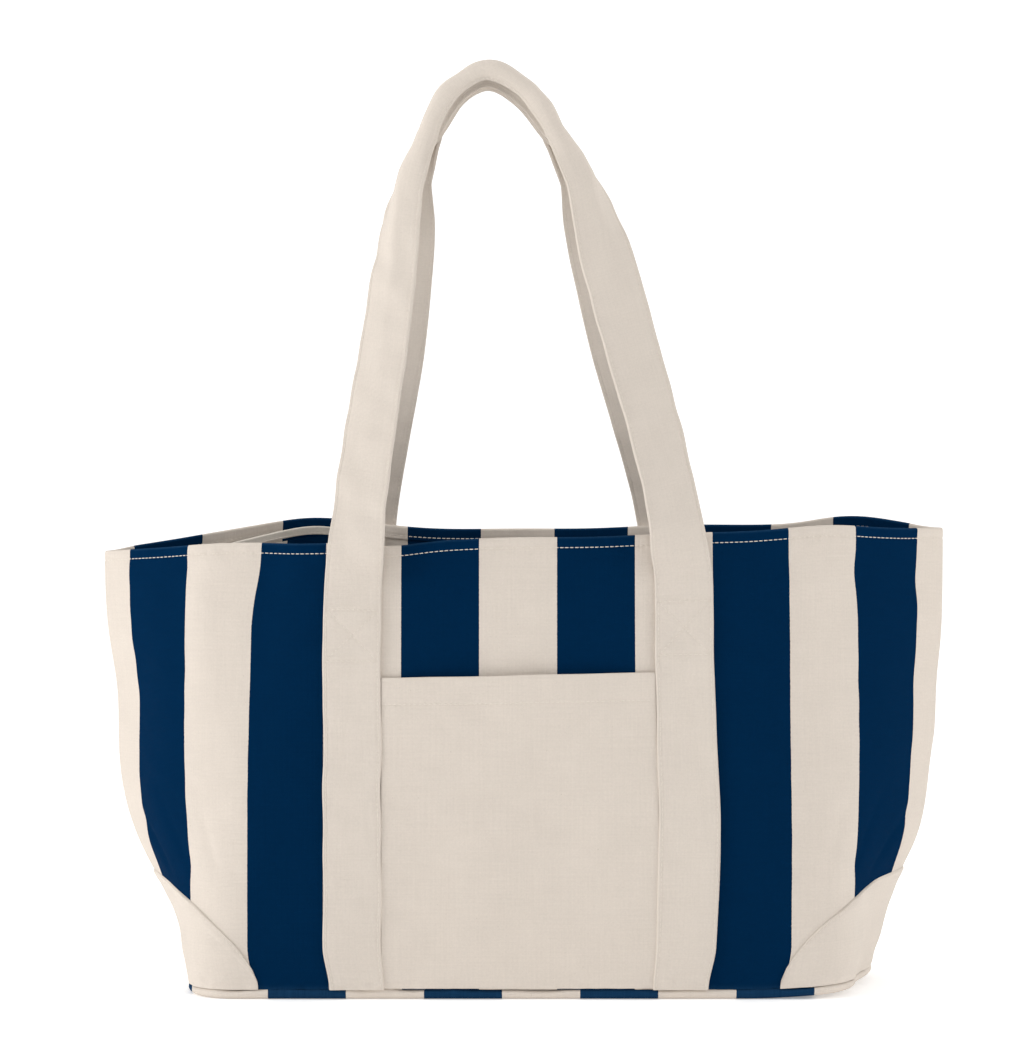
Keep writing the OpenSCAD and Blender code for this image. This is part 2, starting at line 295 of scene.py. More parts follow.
def wall_plan(u, v):
    """How far out along X, how far in along Y as a share, and the wall's turn, at u from the middle."""
    t = np.clip(v / WALL_H, -0.02, 1.02)
    flat = lerp(BASE_L / 2 - CORNER_R, STRAP_IN, t)
    arc = lerp(BASE_L / 2 - CORNER_R + CORNER_R * math.pi / 2, HALF_GIRTH, t)
    end = lerp(math.pi / 2, RIM_TURN, ease(t / EASE_SHARE))
    radius = (arc - flat) / end
    turn = end * np.clip((u - flat) / (arc - flat), 0, 1)
    past = np.maximum(0, u - arc)
    x = np.minimum(u, flat) + radius * np.sin(turn) + past * np.cos(end)
    inset = radius * (1 - np.cos(turn)) + past * np.sin(end)
    whole = radius * (1 - np.cos(end)) + np.maximum(0, HALF_GIRTH - arc) * np.sin(end)
    return x, inset / whole, turn


def front_folds(u, v):
    """The folds of the front wall: one upright fold near its left end, and the pull of the straps."""
    high = smooth(0.25, 1.0, v / WALL_H)
    fold = 3.4 * MM * bell(u + 214 * MM, 17 * MM) - 3.0 * MM * bell(u + 172 * MM, 15 * MM)
    fold = fold + 1.6 * MM * bell(u - 196 * MM, 20 * MM)
    rim = smooth(0.8, 1.0, v / WALL_H) * 2.2 * MM * bell(u + 76 * MM, 11 * MM)
    return fold * high - rim


def back_folds(u, v):
    high = smooth(0.3, 1.0, v / WALL_H)
    return high * (2.6 * MM * bell(u - 205 * MM, 20 * MM) - 2.2 * MM * bell(u + 190 * MM, 22 * MM))


def corner_creases(u, v):
    """Short slanting creases that run up from each corner patch into the wall."""
    out = HALF_GIRTH - np.abs(u)
    total = 0
    for reach, slope, depth in ((52, 0.75, 1.5), (78, 0.5, 1.1), (104, 0.35, 0.7)):
        across = out - reach * MM + slope * (v - 70 * MM)
        along = v - 70 * MM
        total = total - depth * MM * bell(across, 4.5 * MM) * smooth(-10 * MM, 12 * MM, along) \
            * smooth(75 * MM, 20 * MM, along)
    return total


def relief(u, v, side):
    """Swellings, folds and the pinch of the base seam, shared by every layer sewn to a wall."""
    held = smooth(0, 30 * MM, HALF_GIRTH - np.abs(u))
    free = smooth(0, 45 * MM, v)
    soft = 0.8 * MM * waves(u, v, 95 * MM, 11 + side) + 0.22 * MM * waves(u, v, 26 * MM, 21 + side)
    belly = 1.8 * MM * np.sin(math.pi * np.clip(v / WALL_H, 0, 1)) * bell(u, 120 * MM)
    folds = np.where(side == FRONT, front_folds(u, v), back_folds(u, v))
    pinch = -0.8 * MM * bell(v, 2.2 * MM)
    pucker = 0.35 * MM * bell(v, 9 * MM) * waves(u, v, 9 * MM, 31 + side)
    return held * (free * (soft + belly + folds) + corner_creases(u, v) * free + pucker) + pinch


def end_sway(u, v):
    """How far the two ends have leant, to the right where it is above 0."""
    left = 5 * MM + 8 * MM * bell(v - 185 * MM, 45 * MM) - 7 * MM * bell(v - 80 * MM, 45 * MM) \
        + 3 * MM * bell(v, 22 * MM)
    right = 3 * MM + 13 * MM * smooth(150 * MM, 80 * MM, v) - 3.5 * MM * bell(v - 185 * MM, 30 * MM)
    return smooth(235 * MM, 300 * MM, np.abs(u)) * np.where(u < 0, left, right)


def sway(u, v, side):
    """How far the cloth has moved sideways: its ends, its gathers at the rim and its draw at the base."""
    held = smooth(0, 30 * MM, HALF_GIRTH - np.abs(u))
    rim = smooth(235 * MM, 290 * MM, v)
    front = 5.5 * MM * bell(u + 228 * MM, 45 * MM) + 6 * MM * bell(u + 172 * MM, 42 * MM) * rim \
        + 5 * MM * bell(u - 120 * MM, 38 * MM) * bell(v - 100 * MM, 75 * MM) \
        - 3 * MM * bell(u - 252 * MM, 30 * MM) * bell(v - 262 * MM, 14 * MM)
    back = (14 * MM * bell(u + 185 * MM, 50 * MM) - 7 * MM * bell(u - 225 * MM, 38 * MM)) \
        * smooth(150 * MM, 270 * MM, v)
    draw = -np.sign(u) * 4 * MM * smooth(28 * MM, 0, v) * smooth(60 * MM, 130 * MM, np.abs(u))
    return end_sway(u, v) + draw + held * np.where(side == FRONT, front, back)


def rise(u, v, side):
    """How far the top of a wall is pulled up, or sags."""
    held = smooth(0, 30 * MM, HALF_GIRTH - np.abs(u))
    front = 3.2 * MM * bell(np.abs(u) - 205 * MM, 45 * MM) - 2.8 * MM * bell(u + 82 * MM, 22 * MM)
    back = 13 * MM * bell(u + 160 * MM, 80 * MM) + 6.5 * MM * bell(u - 243 * MM, 36 * MM)
    small = 0.4 * MM * waves(u, 0 * u, 90 * MM, 41)
    return smooth(0.62, 1, v / WALL_H) * held * (small + np.where(side == FRONT, front, back))


def settle(points):
    """How the whole bag stands: its rim higher on the right, and its right base corner off the ground."""
    x, y, z = points[..., 0], points[..., 1], points[..., 2]
    up = np.clip(z / (WALL_H + SEAM_Z), 0, 1) ** 1.5 * smooth(430 * MM, 300 * MM, z)
    corner = 4 * MM * smooth(150 * MM, 235 * MM, x) * smooth(90 * MM, 0, z)
    return np.stack([x, y, z + TILT * x / (HALF_GIRTH * 0.93) * up + corner], -1)


def height(u, v):
    return SEAM_Z + v - RIM_DIP * (u / HALF_GIRTH) ** 2 * np.clip(v / WALL_H, 0, 1) ** 2


def wall(u, v, d, side):
    """Points of the front or back wall."""
    u, v, d = np.broadcast_arrays(np.asarray(u, float), v, d)
    x, inset, turn = wall_plan(np.abs(u), v)
    out = d + relief(u, v, side)
    y = lerp(BASE_D, MOUTH_D, np.clip(v / WALL_H, 0, 1)) / 2 * (1 - inset)
    across = np.where(u < 0, -1, 1) * (x + out * np.sin(turn)) + sway(u, v, side)
    z = height(u, v) + rise(u, v, side)
    return settle(np.stack([across, side * (y + out * np.cos(turn)), z], -1))


def end_wall(w, v, d, end):
    """Points round an end of the bag, at a distance w from its seam, w below 0 on the front."""
    w, v, d = np.broadcast_arrays(np.asarray(w, float), v, d)
    u = HALF_GIRTH - np.abs(w)
    x, inset, turn = wall_plan(u, v)
    turn = lerp(math.pi / 2, turn, smooth(0, 6 * MM, np.abs(w)))
    side = np.where(w < 0, FRONT, BACK)
    out = d + np.where(w < 0, relief(end * u, v, FRONT), relief(end * u, v, BACK))
    y = lerp(BASE_D, MOUTH_D, np.clip(v / WALL_H, 0, 1)) / 2 * (1 - inset)
    across = end * (x + out * np.sin(turn)) + sway(end * u, v, side)
    return settle(np.stack([across, side * (y + out * np.cos(turn)), height(u, v)], -1))


# ---- Meshes ----

def piece(name, points, faces, cloth, material, slot, body, nodes, blend_at=None):
    """One finished piece. cloth holds, for each point, its place in the weave and how worn it is."""
    mesh = bpy.data.meshes.new(name)
    mesh.from_pydata(points.reshape(-1, 3).tolist(), [], faces.tolist())
    attribute = mesh.attributes.new("cloth", "FLOAT_VECTOR", "POINT")
    attribute.data.foreach_set("vector", cloth.reshape(-1, 3).astype(np.float32).ravel())
    mesh.shade_smooth()
    mesh.set_sharp_from_angle(angle=math.radians(50))
    mesh.materials.append(material)
    obj = bpy.data.objects.new(name, mesh)
    bpy.context.scene.collection.objects.link(obj)
    if blend_at:
        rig.blend(obj, "bag", body, *blend_at)
    else:
        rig.ride(obj, body)
    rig.replaces(obj, *nodes)
    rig.slot(obj, slot)
    return obj


def slab_faces(rows, cols, flip):
    """Quads of a closed slab between an outer and an inner grid of points."""
    m = rows * cols
    grid = np.arange(m).reshape(rows, cols)
    a, b, c, d = grid[:-1, :-1], grid[1:, :-1], grid[1:, 1:], grid[:-1, 1:]
    outer = np.stack([a, b, c, d], -1).reshape(-1, 4)
    inner = np.stack([a, d, c, b], -1).reshape(-1, 4) + m
    rim = np.concatenate([grid[:-1, 0], grid[-1, :-1], grid[:0:-1, -1], grid[0, :0:-1]])
    after = np.roll(rim, -1)
    sides = np.stack([rim, rim + m, after + m, after], -1)
    faces = np.concatenate([outer, inner, sides])
    return faces[:, ::-1] if flip else faces


def slab(
    name, us, vs, outer, inner, place, material, slot, body, nodes,
    phase=0, wear=None, in_weave=None, flip=False, **more,
):
    """A cloth piece: place(u, v, d) gives its points, outer and inner its two faces' distances.

    in_weave(u, v) gives a point's place in the weave where that isn't (u, v) itself."""
    u, v = np.meshgrid(us, vs, indexing="ij")
    points = np.stack([place(u, v, outer(u, v)), place(u, v, inner(u, v))])
    worn = wear(u, v) if wear else np.zeros_like(u)
    weave_u, weave_v = in_weave(u, v) if in_weave else (u - phase, v)
    cloth = np.broadcast_to(np.stack([weave_u, weave_v, worn], -1), points.shape)
    return piece(name, points, slab_faces(len(us), len(vs), flip), cloth, material, slot, body, nodes, **more)


def ring_faces(rows, cols, closed_rows=False):
    """Quads of a skin whose columns close into a ring."""
    grid = np.arange(rows * cols).reshape(rows, cols)
    below = np.roll(grid, -1, 0) if closed_rows else grid[1:]
    here = grid if closed_rows else grid[:-1]
    return np.stack([here, np.roll(here, -1, 1), np.roll(below, -1, 1), below], -1).reshape(-1, 4)


def stitch_row(path, normal, first=0.0):
    """The points and faces of a row of stitches along a path, each diving into the cloth at its ends."""
    step = np.linalg.norm(np.diff(path, axis=0), axis=1)
    along = np.concatenate([[0], np.cumsum(step)])
    count = int((along[-1] - first - STITCH_L) / STITCH_PITCH) + 1
    start = first + np.arange(count)[:, None] * STITCH_PITCH
    share = np.array([0, 0.14, 0.5, 0.86, 1])
    place = start + share * STITCH_L

    def at(values, s):
        return np.stack([np.interp(s, along, values[:, k]) for k in range(3)], -1)

    middle, up = at(path, place), unit(at(normal, place))
    run = unit(at(path, place + 0.2 * MM) - at(path, place - 0.2 * MM))
    across = np.cross(run, up)
    size = THREAD_R * np.array([0.5, 0.95, 1, 0.95, 0.5])
    lift = THREAD_R * np.array([-1.1, 0.35, 0.75, 0.35, -1.1])
    turn = np.arange(6) * math.pi / 3
    ring = across[..., None, :] * np.cos(turn)[:, None] + up[..., None, :] * 0.8 * np.sin(turn)[:, None]
    points = (middle + up * lift[:, None])[..., None, :] + ring * size[:, None, None]
    quads = ring_faces(len(share), 6)
    caps = np.array([[0, 5, 4, 3], [0, 3, 2, 1]])
    last = 6 * (len(share) - 1) + np.array([[0, 1, 2, 3], [0, 3, 4, 5]])
    one = np.concatenate([quads, caps, last])
    faces = (one[None] + (np.arange(count) * 6 * len(share))[:, None, None]).reshape(-1, 4)
    return points.reshape(-1, 3), faces


def thread_piece(name, rows, body, nodes, **more):
    """All the stitches of one row in the parts list. rows holds (path, normal) pairs."""
    points, faces, count = [], [], 0
    for path, normal in rows:
        p, f = stitch_row(path, normal)
        points.append(p)
        faces.append(f + count)
        count += len(p)
    points = np.concatenate(points)
    cloth = np.tile(np.arange(len(points))[:, None] * 0.01 * MM, (1, 3))
    return piece(name, points, np.concatenate(faces), cloth, cotton_thread, "thread", body, nodes, **more)


def seam_line(place, u, v, d):
    """A path on a cloth surface and the way out of it."""
    on = place(u, v, d)
    return on, unit(place(u, v, np.asarray(d) + 0.3 * MM) - on)


# ---- Materials ----

class Value:
    """A node's output that Python sums add Math nodes to."""

    def __init__(self, tree, socket):
        self.tree, self.socket = tree, socket

    def sum(self, operation, *others):
        math_node = self.tree.nodes.new("ShaderNodeMath")
        math_node.operation = operation
        for place, value in zip(math_node.inputs, (self, *others)):
            feed(self.tree, place, value)
        return Value(self.tree, math_node.outputs[0])

    def __add__(self, other):
        return self.sum("ADD", other)

    def __sub__(self, other):
        return self.sum("SUBTRACT", other)

    def __rsub__(self, other):
        return (self * -1).sum("ADD", other)

    def __mul__(self, other):
        return self.sum("MULTIPLY", other)

    def __truediv__(self, other):
        return self.sum("DIVIDE", other)

    __radd__, __rmul__ = __add__, __mul__


def feed(tree, place, value):
    if isinstance(value, Value):
        tree.links.new(value.socket, place)
    else:
        place.default_value = value


class Finish:
    """A material under construction."""

    def __init__(self, name, roughness, sheen, sheen_roughness=0.5):
        self.material = bpy.data.materials.new(name)
        self.material.use_nodes = True
        self.tree = self.material.node_tree
        self.shader = self.tree.nodes["Principled BSDF"]
        self.shader.inputs["Roughness"].default_value = roughness
        self.shader.inputs["Sheen Weight"].default_value = sheen
        self.shader.inputs["Sheen Roughness"].default_value = sheen_roughness
        self.shader.inputs["Specular IOR Level"].default_value = 0.02

    def node(self, kind, inputs=(), output=0, **settings):
        """Adds a node: its settings first, then the values or links of its sockets."""
        made = self.tree.nodes.new(kind)
        for name, value in settings.items():
            setattr(made, name, value)
        for name, value in dict(inputs).items():
            feed(self.tree, made.inputs[name], value)
        return Value(self.tree, made.outputs[output])

    def noise(self, where, scale, detail=2):
        return self.node("ShaderNodeTexNoise", {"Vector": where, "Scale": scale, "Detail": detail})

    def stretched(self, where, x, y):
        """Cloth places scaled unevenly, so that a noise on them runs along the yarns."""
        return self.node("ShaderNodeVectorMath", {0: where, 1: (x, y, 1)}, operation="MULTIPLY")

    def mix(self, factor, a, b, blend="MIX"):
        return self.node(
            "ShaderNodeMix", {0: factor, 6: a, 7: b}, output=2, data_type="RGBA", blend_type=blend
        )

    def grey(self, value):
        return self.node("ShaderNodeCombineColor", {0: value, 1: value, 2: value})

    def give(self, colour, roughness, bump, depth, strength=1.0):
        feed(self.tree, self.shader.inputs["Base Color"], colour)
        feed(self.tree, self.shader.inputs["Roughness"], roughness)
        normal = self.node("ShaderNodeBump", {"Height": bump, "Strength": strength, "Distance": depth})
        feed(self.tree, self.shader.inputs["Normal"], normal)
        return self.material


NATURAL = (0.71, 0.635, 0.56, 1)
NATURAL_DARK = (0.52, 0.45, 0.37, 1)
NAVY = (0.0, 0.0184, 0.060, 1)
NAVY_WORN = (0.02, 0.07, 0.15, 1)
YARN = 0.82 * MM


def woven(name, yarn=YARN, striped=False, tone=NATURAL, fleck=0.5):
    """Plain weave canvas: yarns cross over and under, a little uneven, worn where the cloth is folded."""
    finish = Finish(name, 0.88, 0.0 if striped else 0.1)
    place = finish.node("ShaderNodeAttribute", output=1, attribute_name="cloth")
    u = finish.node("ShaderNodeSeparateXYZ", {0: place}, output=0)
    v = finish.node("ShaderNodeSeparateXYZ", {0: place}, output=1)
    worn = finish.node("ShaderNodeSeparateXYZ", {0: place}, output=2)
    warp = (u * (math.pi / yarn)).sum("SINE")
    weft = (v * (math.pi / yarn)).sum("SINE")
    over = (warp * weft).sum("GREATER_THAN", 0.0)
    warp, weft = warp.sum("ABSOLUTE"), weft.sum("ABSOLUTE")
    relief_height = over * warp * (0.6 + 0.4 * weft) + (1 - over) * weft * (0.6 + 0.4 * warp)

    slub_warp = finish.noise(finish.stretched(place, 0.9 / yarn, 22), 1.0)
    slub_weft = finish.noise(finish.stretched(place, 22, 0.9 / yarn), 1.0)
    mottle = finish.noise(place, 38, 4)
    grain = finish.noise(place, 700, 1)
    uneven = 0.84 + 0.07 * slub_warp + 0.07 * slub_weft + 0.08 * mottle + 0.10 * grain
    # The yarns' own uneven tone, times painted shade in the weave's low places between crossing yarns.
    tone_and_weave_shade = uneven * (0.93 + 0.07 * relief_height)
    specks = finish.noise(finish.stretched(place, 420, 420), 1.0, 1).sum("GREATER_THAN", 0.79)
    ground = finish.mix(specks * fleck, tone, NATURAL_DARK)
    if striped:
        waver = (finish.noise(finish.stretched(place, 0, 0.5 / yarn), 1.0) - 0.5) * (0.5 * MM)
        navy = ((u + waver) / (2 * STRIPE)).sum("FRACT").sum("LESS_THAN", 0.5)
        blue = finish.mix(worn * 0.55 * (0.4 + slub_warp), NAVY, NAVY_WORN)
        ground = finish.mix(navy, ground, blue)
    colour = finish.mix(1.0, ground, finish.grey(tone_and_weave_shade), "MULTIPLY")
    rough = 0.82 + 0.12 * relief_height
    height = relief_height * 0.7 + slub_warp * 0.5 + slub_weft * 0.5 + finish.noise(place, 900) * 0.35
    return finish.give(colour, rough, height, 0.22 * MM)


def twisted_thread(name):
    """Cotton thread, a little fuzzy and uneven in tone."""
    finish = Finish(name, 0.7, 0.2)
    place = finish.node("ShaderNodeTexCoord", output=3)
    fuzz = finish.noise(place, 2600, 3)
    colour = finish.mix(fuzz, (0.6, 0.54, 0.47, 1), (0.84, 0.77, 0.69, 1))
    return finish.give(colour, 0.62 + 0.2 * fuzz, fuzz, 0.08 * MM)


def studio_white():
    finish = Finish("studio_white", 0.9, 0.0)
    place = finish.node("ShaderNodeTexCoord", output=3)
    faint = finish.noise(place, 3)
    colour = finish.mix(faint, (0.93, 0.93, 0.93, 1), (0.95, 0.95, 0.95, 1))
    finish.shader.inputs["Emission Color"].default_value = (1, 1, 1, 1)
    finish.shader.inputs["Emission Strength"].default_value = 0.28
    return finish.give(colour, 0.9 + 0.02 * faint, faint, 0.01 * MM)


striped_canvas = woven("striped_canvas", striped=True)
natural_canvas = woven("natural_canvas")
strap_canvas = woven("strap_canvas", yarn=0.78 * MM, tone=(0.705, 0.632, 0.558, 1), fleck=0.35)
binding_tape = woven("binding_tape", yarn=0.6 * MM, tone=(0.76, 0.70, 0.62, 1), fleck=0.1)
cotton_thread = twisted_thread("cotton_thread")


# ---- Walls ----

STRIPE_START = STRIPE / 2  # a navy stripe's left edge, from the wall's middle
HEM_LINE = HEM_V + EDGE_IN


def hem_roll(u, v):
    """The slanting ripples that stitching pulls into a turned hem."""
    zone = smooth(-4 * MM, 1 * MM, v - HEM_V)
    ripple = np.sin((u + 0.7 * (v - HEM_V)) * 2 * math.pi / (10.5 * MM) + 1.5 * waves(u, v, 60 * MM, 5))
    return zone * (0.16 * MM * ripple + 0.25 * MM * waves(u, 0 * v, 34 * MM, 6))


def hem_groove(u, v):
    along = 0.75 + 0.25 * np.cos(u * 2 * math.pi / STITCH_PITCH)
    return 0.38 * MM * bell(v - HEM_LINE, 0.9 * MM) * along


def panel(side, name, node):
    us = line(-HALF_GIRTH + 0.2 * MM, HALF_GIRTH - 0.2 * MM, 2.4 * MM)
    vs = np.concatenate([
        line(0, 12 * MM, 1.2 * MM), line(14.5 * MM, HEM_V - 6 * MM, 3 * MM),
        line(HEM_V - 4 * MM, WALL_H, 0.75 * MM, 1.6 * MM)[4:],
    ])

    def rim(v):
        return rounded(v, -1, WALL_H, 1.6 * MM)

    def outer(u, v):
        return (PLY + hem_roll(u, v) - hem_groove(u, v)) * rim(v)

    def inner(u, v):
        from_end = np.clip((HALF_GIRTH - np.abs(u)) / (4 * PLY) - 0.3, 0.02, 1)
        turned = smooth(HEM_V - 0.7 * MM, HEM_V, v) * from_end
        return (-PLY * turned + hem_roll(u, v) + hem_groove(u, v) * turned) * rim(v)

    def place(u, v, d):
        return wall(u, v, d, side)

    def wear(u, v):
        return smooth(1.8 * MM, 0, WALL_H - v) * 0.8 + 0.5 * bell(v, 2 * MM)

    made = slab(
        name, us, vs, outer, inner, place, striped_canvas, "striped_canvas", "bag", [node],
        phase=STRIPE_START, wear=wear, flip=side == BACK,
    )
    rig.sheet(made, flat=(2 * HALF_GIRTH, WALL_H + HEM), held="stretched", rests_on=["base_panel"])
    path_u = line(-HALF_GIRTH + 3 * MM, HALF_GIRTH - 3 * MM, PATH_STEP)
    rows = []
    for d, way in ((outer(path_u, HEM_LINE + 0 * path_u), 1), (inner(path_u, HEM_LINE + 0 * path_u), -1)):
        on, out = seam_line(place, path_u, HEM_LINE + 0 * path_u, d)
        rows.append((on, way * out))
    thread_piece(name.replace("wall", "hem_stitching"), rows, "bag", [node.replace("panel", "hem_thread")])
    return made


front_wall = panel(FRONT, "front_wall", "front_panel")
back_wall = panel(BACK, "back_wall", "back_panel")


# ---- Base ----

def plan(grow):
    """A closed ring round the base, grown outward. Its points keep their places as it grows.

    With each point comes its distance u along the wall that stands there."""
    bend = np.linspace(0, math.pi / 2, 26)[:-1]
    half_x, half_y = BASE_L / 2 - CORNER_R, BASE_D / 2 - CORNER_R
    radius = max(CORNER_R + grow, 0)
    shrink = min(CORNER_R + grow, 0)
    points, us = [], []
    for quarter in range(4):
        c, s = round(math.cos(quarter * math.pi / 2)), round(math.sin(quarter * math.pi / 2))
        length, depth = (half_x, half_y) if quarter % 2 == 0 else (half_y, half_x)
        along = np.linspace(-1, 1, 129 if quarter % 2 == 0 else 49)[:-1]
        straight = np.stack([along * (length + shrink), np.full(len(along), -depth - shrink - radius)], -1)
        turned = [length + shrink + radius * np.sin(bend), -depth - shrink - radius * np.cos(bend)]
        points.append(np.concatenate([straight, np.stack(turned, -1)]) @ np.array([[c, s], [-s, c]]))
        if quarter % 2 == 0:
            us.append((1 - quarter) * np.concatenate([along * half_x, half_x + CORNER_R * bend]))
        else:
            near = HALF_GIRTH - np.abs(along) * half_y
            round_corner = half_x + CORNER_R * (math.pi / 2 - bend)
            us.append((2 - quarter) * np.concatenate([near, round_corner]))
    return np.concatenate(points), np.concatenate(us)


def base_ring(grow, z):
    """A ring of points at the base, moved sideways with the walls that stand on it."""
    ring, u = plan(grow)
    side = np.where(ring[:, 1] < 0, FRONT, BACK)
    moved = sway(u, 0 * u, side) * smooth(-70 * MM, 0, grow)
    return np.column_stack([ring[:, 0] + moved, ring[:, 1], z + 0 * u]), u


BASE_STRIPE_START = 40.4 * MM


def base_cloth():
    """The base: a shallow tray, its edge rolled up to meet the walls."""
    top = SEAM_Z - 0.3 * MM
    # The inside, in from the walls.
    profile = [(-0.2, top), (-0.2, 3.5 * MM), (-0.6, 1.9 * MM)]
    profile += [(grow, PLY) for grow in (-3, -12, -30, -60, -92.5)]
    # The underside, out to the walls.
    profile += [(-92.5, 0.15 * MM), (-60, 0.25 * MM), (-30, 0.3 * MM), (-14, 0.2 * MM), (-6, 0.05 * MM)]
    # The rolled edge.
    profile += [(-2.2, 0.15 * MM), (-0.2, 0.9 * MM), (1.2, 2.2 * MM), (1.9, 3.6 * MM)]
    profile += [(1.7, 5.0 * MM), (0.8, 6.1 * MM), (0.3, top)]
    rings = []
    for grow, z in profile:
        ring, _ = base_ring(grow * MM, z)
        x, y = ring[:, 0], ring[:, 1]
        edge = smooth(-8, 0.5, grow)
        lift = edge * smooth(0.5 * MM, 5 * MM, z)
        lump = 0.5 * MM * waves(x, y, 24 * MM, 61) + 0.25 * MM * waves(x, y, 9 * MM, 62)
        kink = 1.6 * MM * bell(x + 88 * MM, 9 * MM) * (y < 0)
        way = unit(np.stack([x, y * BASE_L / BASE_D], -1))
        ring[:, :2] += way * (lift * lump)[:, None]
        sag = (1 - edge) * 0.12 * MM * (1 + waves(x, y, 70 * MM, 63)) if z < 1 * MM else 0
        ring[:, 2] = np.maximum(z + lift * (0.5 * MM * waves(x, y, 40 * MM, 64) + kink) + sag, 0)
        rings.append(ring)
    rings = np.stack(rings)
    faces = ring_faces(*rings.shape[:2], closed_rows=True)
    worn = np.broadcast_to(np.array([smooth(4, 0, abs(g - 1)) for g, _ in profile])[:, None], rings.shape[:2])
    cloth = np.stack([rings[..., 0] - BASE_STRIPE_START, rings[..., 1], worn * 0.8], -1)
    made = piece(
        "base_cloth", settle(rings), faces, cloth, striped_canvas, "striped_canvas", "bag", ["base_panel"]
    )
    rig.sheet(made, flat=(BASE_L + 16 * MM, BASE_D + 16 * MM), held="laid")
    return made


base_cloth()


# ---- Bound seam allowances inside ----

def base_binding():
    low, high = PLY + 0.3 * MM, PLY + 0.3 * MM + BINDING_T
    profile = [(-0.5, low), (-0.3, low + 0.8 * MM), (-0.5, high - 0.4 * MM), (-1.4, high)]
    profile += [(-5, high + 0.2 * MM), (-9.2, high), (-10.1, high - 0.6 * MM)]
    profile += [(-10.2, low + 0.5 * MM), (-9.4, low)]
    rings = []
    for grow, z in profile:
        ring, _ = base_ring(grow * MM, z)
        ring[:, 2] += (z > low) * 0.35 * MM * waves(ring[:, 0], ring[:, 1], 14 * MM, 71) * smooth(0, -5, grow)
        rings.append(ring)
    rings = np.stack(rings)
    cloth = np.stack([rings[..., 0] + rings[..., 1], rings[..., 2] * 3, 0 * rings[..., 0]], -1)
    piece(
        "base_seam_tape", settle(rings), ring_faces(*rings.shape[:2], closed_rows=True)[:, ::-1], cloth,
        binding_tape, "binding_tape", "bag", ["base_seam_binding"],
    )


def end_binding(end, name, node):
    """The upright seam allowance at an end, folded in tape."""
    def place(back, v, d):
        reach = wall_plan(HALF_GIRTH + 0 * v, v)[0]
        lean = 0.8 * MM * waves(v, 0 * v, 60 * MM, 75 + end) * smooth(0, 8 * MM, back)
        x = end * (reach - 2.4 * MM - back) + end_sway(end * HALF_GIRTH, v)
        return settle(np.stack([x, d + lean, height(HALF_GIRTH, v)], -1))

    def thick(back, v):
        return BINDING_T / 2 * rounded(back, 0, BINDING_W, 1.2 * MM)

    slab(
        name, line(0, BINDING_W, 0.9 * MM, 1.2 * MM), line(1 * MM, HEM_V - 10 * MM, 3 * MM),
        lambda u, v: -thick(u, v), thick, place, binding_tape, "binding_tape", "bag", [node],
        flip=end == RIGHT,
    )


base_binding()
end_binding(LEFT, "left_seam_tape", "left_seam_binding")
end_binding(RIGHT, "right_seam_tape", "right_seam_binding")


# ---- Pockets ----

def front_pocket():
    edge = STRAP_IN - 0.05 * MM
    tuck = 2 * HEM

    def stand(u, v):
        mouth = POCKET_GAPE * smooth(0.35, 1, v / POCKET_H) * (1 - (u / edge) ** 2)
        crumple = 0.45 * MM * (1 + waves(u, v, 33 * MM, 81)) * (1 - (u / edge) ** 4)
        return PLY + 0.35 * MM + mouth + crumple

    def outer(u, v):
        turned = 0.3 * MM * smooth(-0.8 * MM, 0.4 * MM, v - (POCKET_H - tuck))
        groove = 0.25 * MM * bell(v - (POCKET_H - tuck), 0.8 * MM)
        round_top = rounded(v, -1, POCKET_H, 0.9 * MM)
        return stand(u, v) + PLY / 2 + (PLY / 2 + turned - groove) * round_top

    def inner(u, v):
        return stand(u, v) + PLY / 2 - PLY / 2 * rounded(v, -1, POCKET_H, 0.9 * MM)

    def place(u, v, d):
        lift = 0.5 * MM * waves(u, 0 * u, 60 * MM, 83) * (v / POCKET_H) ** 3
        return wall(u, v + lift, d, FRONT)

    made = slab(
        "front_pocket_cloth", line(-edge, edge, 2 * MM, 0.9 * MM), line(0, POCKET_H, 2 * MM, 0.9 * MM)[4:],
        outer, inner, place, natural_canvas, "natural_canvas", "bag", ["front_pocket"], phase=3 * MM,
        wear=lambda u, v: smooth(WORN_W, 0, POCKET_H - v),
    )
    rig.sheet(made, flat=(2 * edge, POCKET_H + tuck), held="stretched", rests_on=["front_wall"])
    path_u = line(-edge + 1 * MM, edge - 1 * MM, PATH_STEP)
    at = POCKET_H - tuck + 0 * path_u
    row = seam_line(place, path_u, at, outer(path_u, at))
    thread_piece("pocket_hem_stitching", [row], "bag", ["pocket_hem_thread"])


